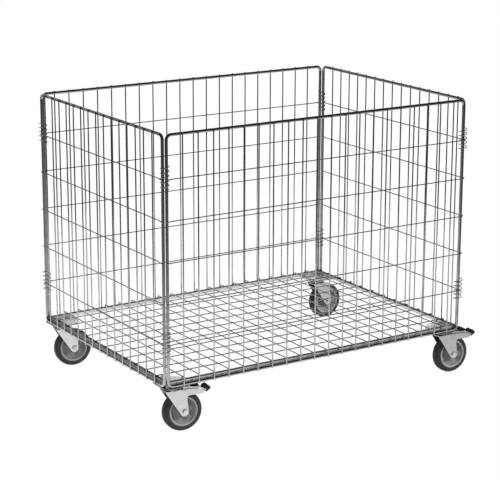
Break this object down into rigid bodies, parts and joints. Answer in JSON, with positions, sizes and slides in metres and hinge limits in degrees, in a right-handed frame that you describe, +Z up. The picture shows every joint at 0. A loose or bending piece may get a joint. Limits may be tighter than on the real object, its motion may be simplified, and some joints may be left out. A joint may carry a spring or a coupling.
{
  "type": "roll cage container",
  "caption": "Open-topped wire mesh roll cage container: mesh side panels laced by coils at the corners, a wire grid floor on bar rails, and swivel castors, the front ones with foot brakes.",
  "frame": {"origin": "centre of the overall box in plan, on the ground under the wheels", "axes": "+X to the right along the long side panels, +Y from the front panel to the back panel, +Z up; one brake pedal reaches past the cage, so the cage's own centre is 38.5 mm towards -X"},
  "size_m": [1.2016, 0.821, 0.9235],
  "materials": {
    "wire": "bright zinc-plated round wire and rod",
    "bar": "zinc-plated square bar",
    "spring": "zinc-plated spring wire",
    "pressing": "zinc-plated pressed sheet steel",
    "fastener": "bright zinc-plated fastener",
    "tyre": "matt dark grey rubber",
    "hub": "mid grey moulded plastic",
    "pedal": "black moulded plastic"
  },
  "bodies": {
    "cage": {"base_rail_back": "bar", "base_rail_front": "bar", "base_rail_left": "bar", "base_rail_right": "bar", "castor_BL_plate": "pressing", "castor_BR_plate": "pressing", "castor_FL_plate": "pressing", "castor_FR_plate": "pressing", "coil_BL_lower": "spring", "coil_BL_upper": "spring", "coil_BR_lower": "spring", "coil_BR_upper": "spring", "coil_FL_lower": "spring", "coil_FL_upper": "spring", "coil_FR_lower": "spring", "coil_FR_upper": "spring", "corner_plate_BL": "pressing", "corner_plate_BR": "pressing", "corner_plate_FL": "pressing", "corner_plate_FR": "pressing", "floor_grid": "wire", "nut_BL_1": "fastener", "nut_BL_2": "fastener", "nut_BR_1": "fastener", "nut_BR_2": "fastener", "nut_FL_1": "fastener", "nut_FL_2": "fastener", "nut_FR_1": "fastener", "nut_FR_2": "fastener", "panel_back": "wire", "panel_front": "wire", "panel_left": "wire", "panel_right": "wire"},
    "swivel_FL": {"castor_FL_fork": "pressing", "castor_FL_axle": "fastener"},
    "wheel_FL": {"castor_FL_tyre": "tyre", "castor_FL_hub": "hub"},
    "brake_FL": {"castor_FL_brake_lever": "pressing", "castor_FL_pad_inner": "pedal", "castor_FL_pad_outer": "pedal"},
    "swivel_FR": {"castor_FR_fork": "pressing", "castor_FR_axle": "fastener"},
    "wheel_FR": {"castor_FR_tyre": "tyre", "castor_FR_hub": "hub"},
    "brake_FR": {"castor_FR_brake_lever": "pressing", "castor_FR_pad_inner": "pedal", "castor_FR_pad_outer": "pedal"},
    "swivel_BL": {"castor_BL_fork": "pressing", "castor_BL_axle": "fastener"},
    "wheel_BL": {"castor_BL_tyre": "tyre", "castor_BL_hub": "hub"},
    "swivel_BR": {"castor_BR_fork": "pressing", "castor_BR_axle": "fastener"},
    "wheel_BR": {"castor_BR_tyre": "tyre", "castor_BR_hub": "hub"}
  },
  "joints": [
    {"name": "castor_FL_swivel", "type": "hinge", "parent": "cage", "child": "swivel_FL", "pos_m": [-0.55351, -0.363, 0.1386], "axis": [0, 0, 1], "continuous": true},
    {"name": "castor_FL_roll", "type": "hinge", "parent": "swivel_FL", "child": "wheel_FL", "pos_m": [-0.5187, -0.36666, 0.0625], "axis": [0.1045, 0.9945, 0], "continuous": true},
    {"name": "castor_FL_brake", "type": "hinge", "parent": "swivel_FL", "child": "brake_FL", "pos_m": [-0.51672, -0.36687, 0.1295], "axis": [0.1045, 0.9945, 0], "range_deg": [0, 11]},
    {"name": "castor_FR_swivel", "type": "hinge", "parent": "cage", "child": "swivel_FR", "pos_m": [0.47649, -0.363, 0.1386], "axis": [0, 0, 1], "continuous": true},
    {"name": "castor_FR_roll", "type": "hinge", "parent": "swivel_FR", "child": "wheel_FR", "pos_m": [0.51144, -0.36483, 0.0625], "axis": [0.0523, 0.9986, 0], "continuous": true},
    {"name": "castor_FR_brake", "type": "hinge", "parent": "swivel_FR", "child": "brake_FR", "pos_m": [0.51344, -0.36494, 0.1295], "axis": [0.0523, 0.9986, 0], "range_deg": [0, 11]},
    {"name": "castor_BL_swivel", "type": "hinge", "parent": "cage", "child": "swivel_BL", "pos_m": [-0.55351, 0.363, 0.1386], "axis": [0, 0, 1], "continuous": true},
    {"name": "castor_BL_roll", "type": "hinge", "parent": "swivel_BL", "child": "wheel_BL", "pos_m": [-0.51885, 0.35813, 0.0625], "axis": [0.1392, 0.9903, 0], "continuous": true},
    {"name": "castor_BR_swivel", "type": "hinge", "parent": "cage", "child": "swivel_BR", "pos_m": [0.47649, 0.363, 0.1386], "axis": [0, 0, 1], "continuous": true},
    {"name": "castor_BR_roll", "type": "hinge", "parent": "swivel_BR", "child": "wheel_BR", "pos_m": [0.51148, 0.36361, 0.0625], "axis": [-0.0175, 0.9998, 0], "continuous": true}
  ]
}
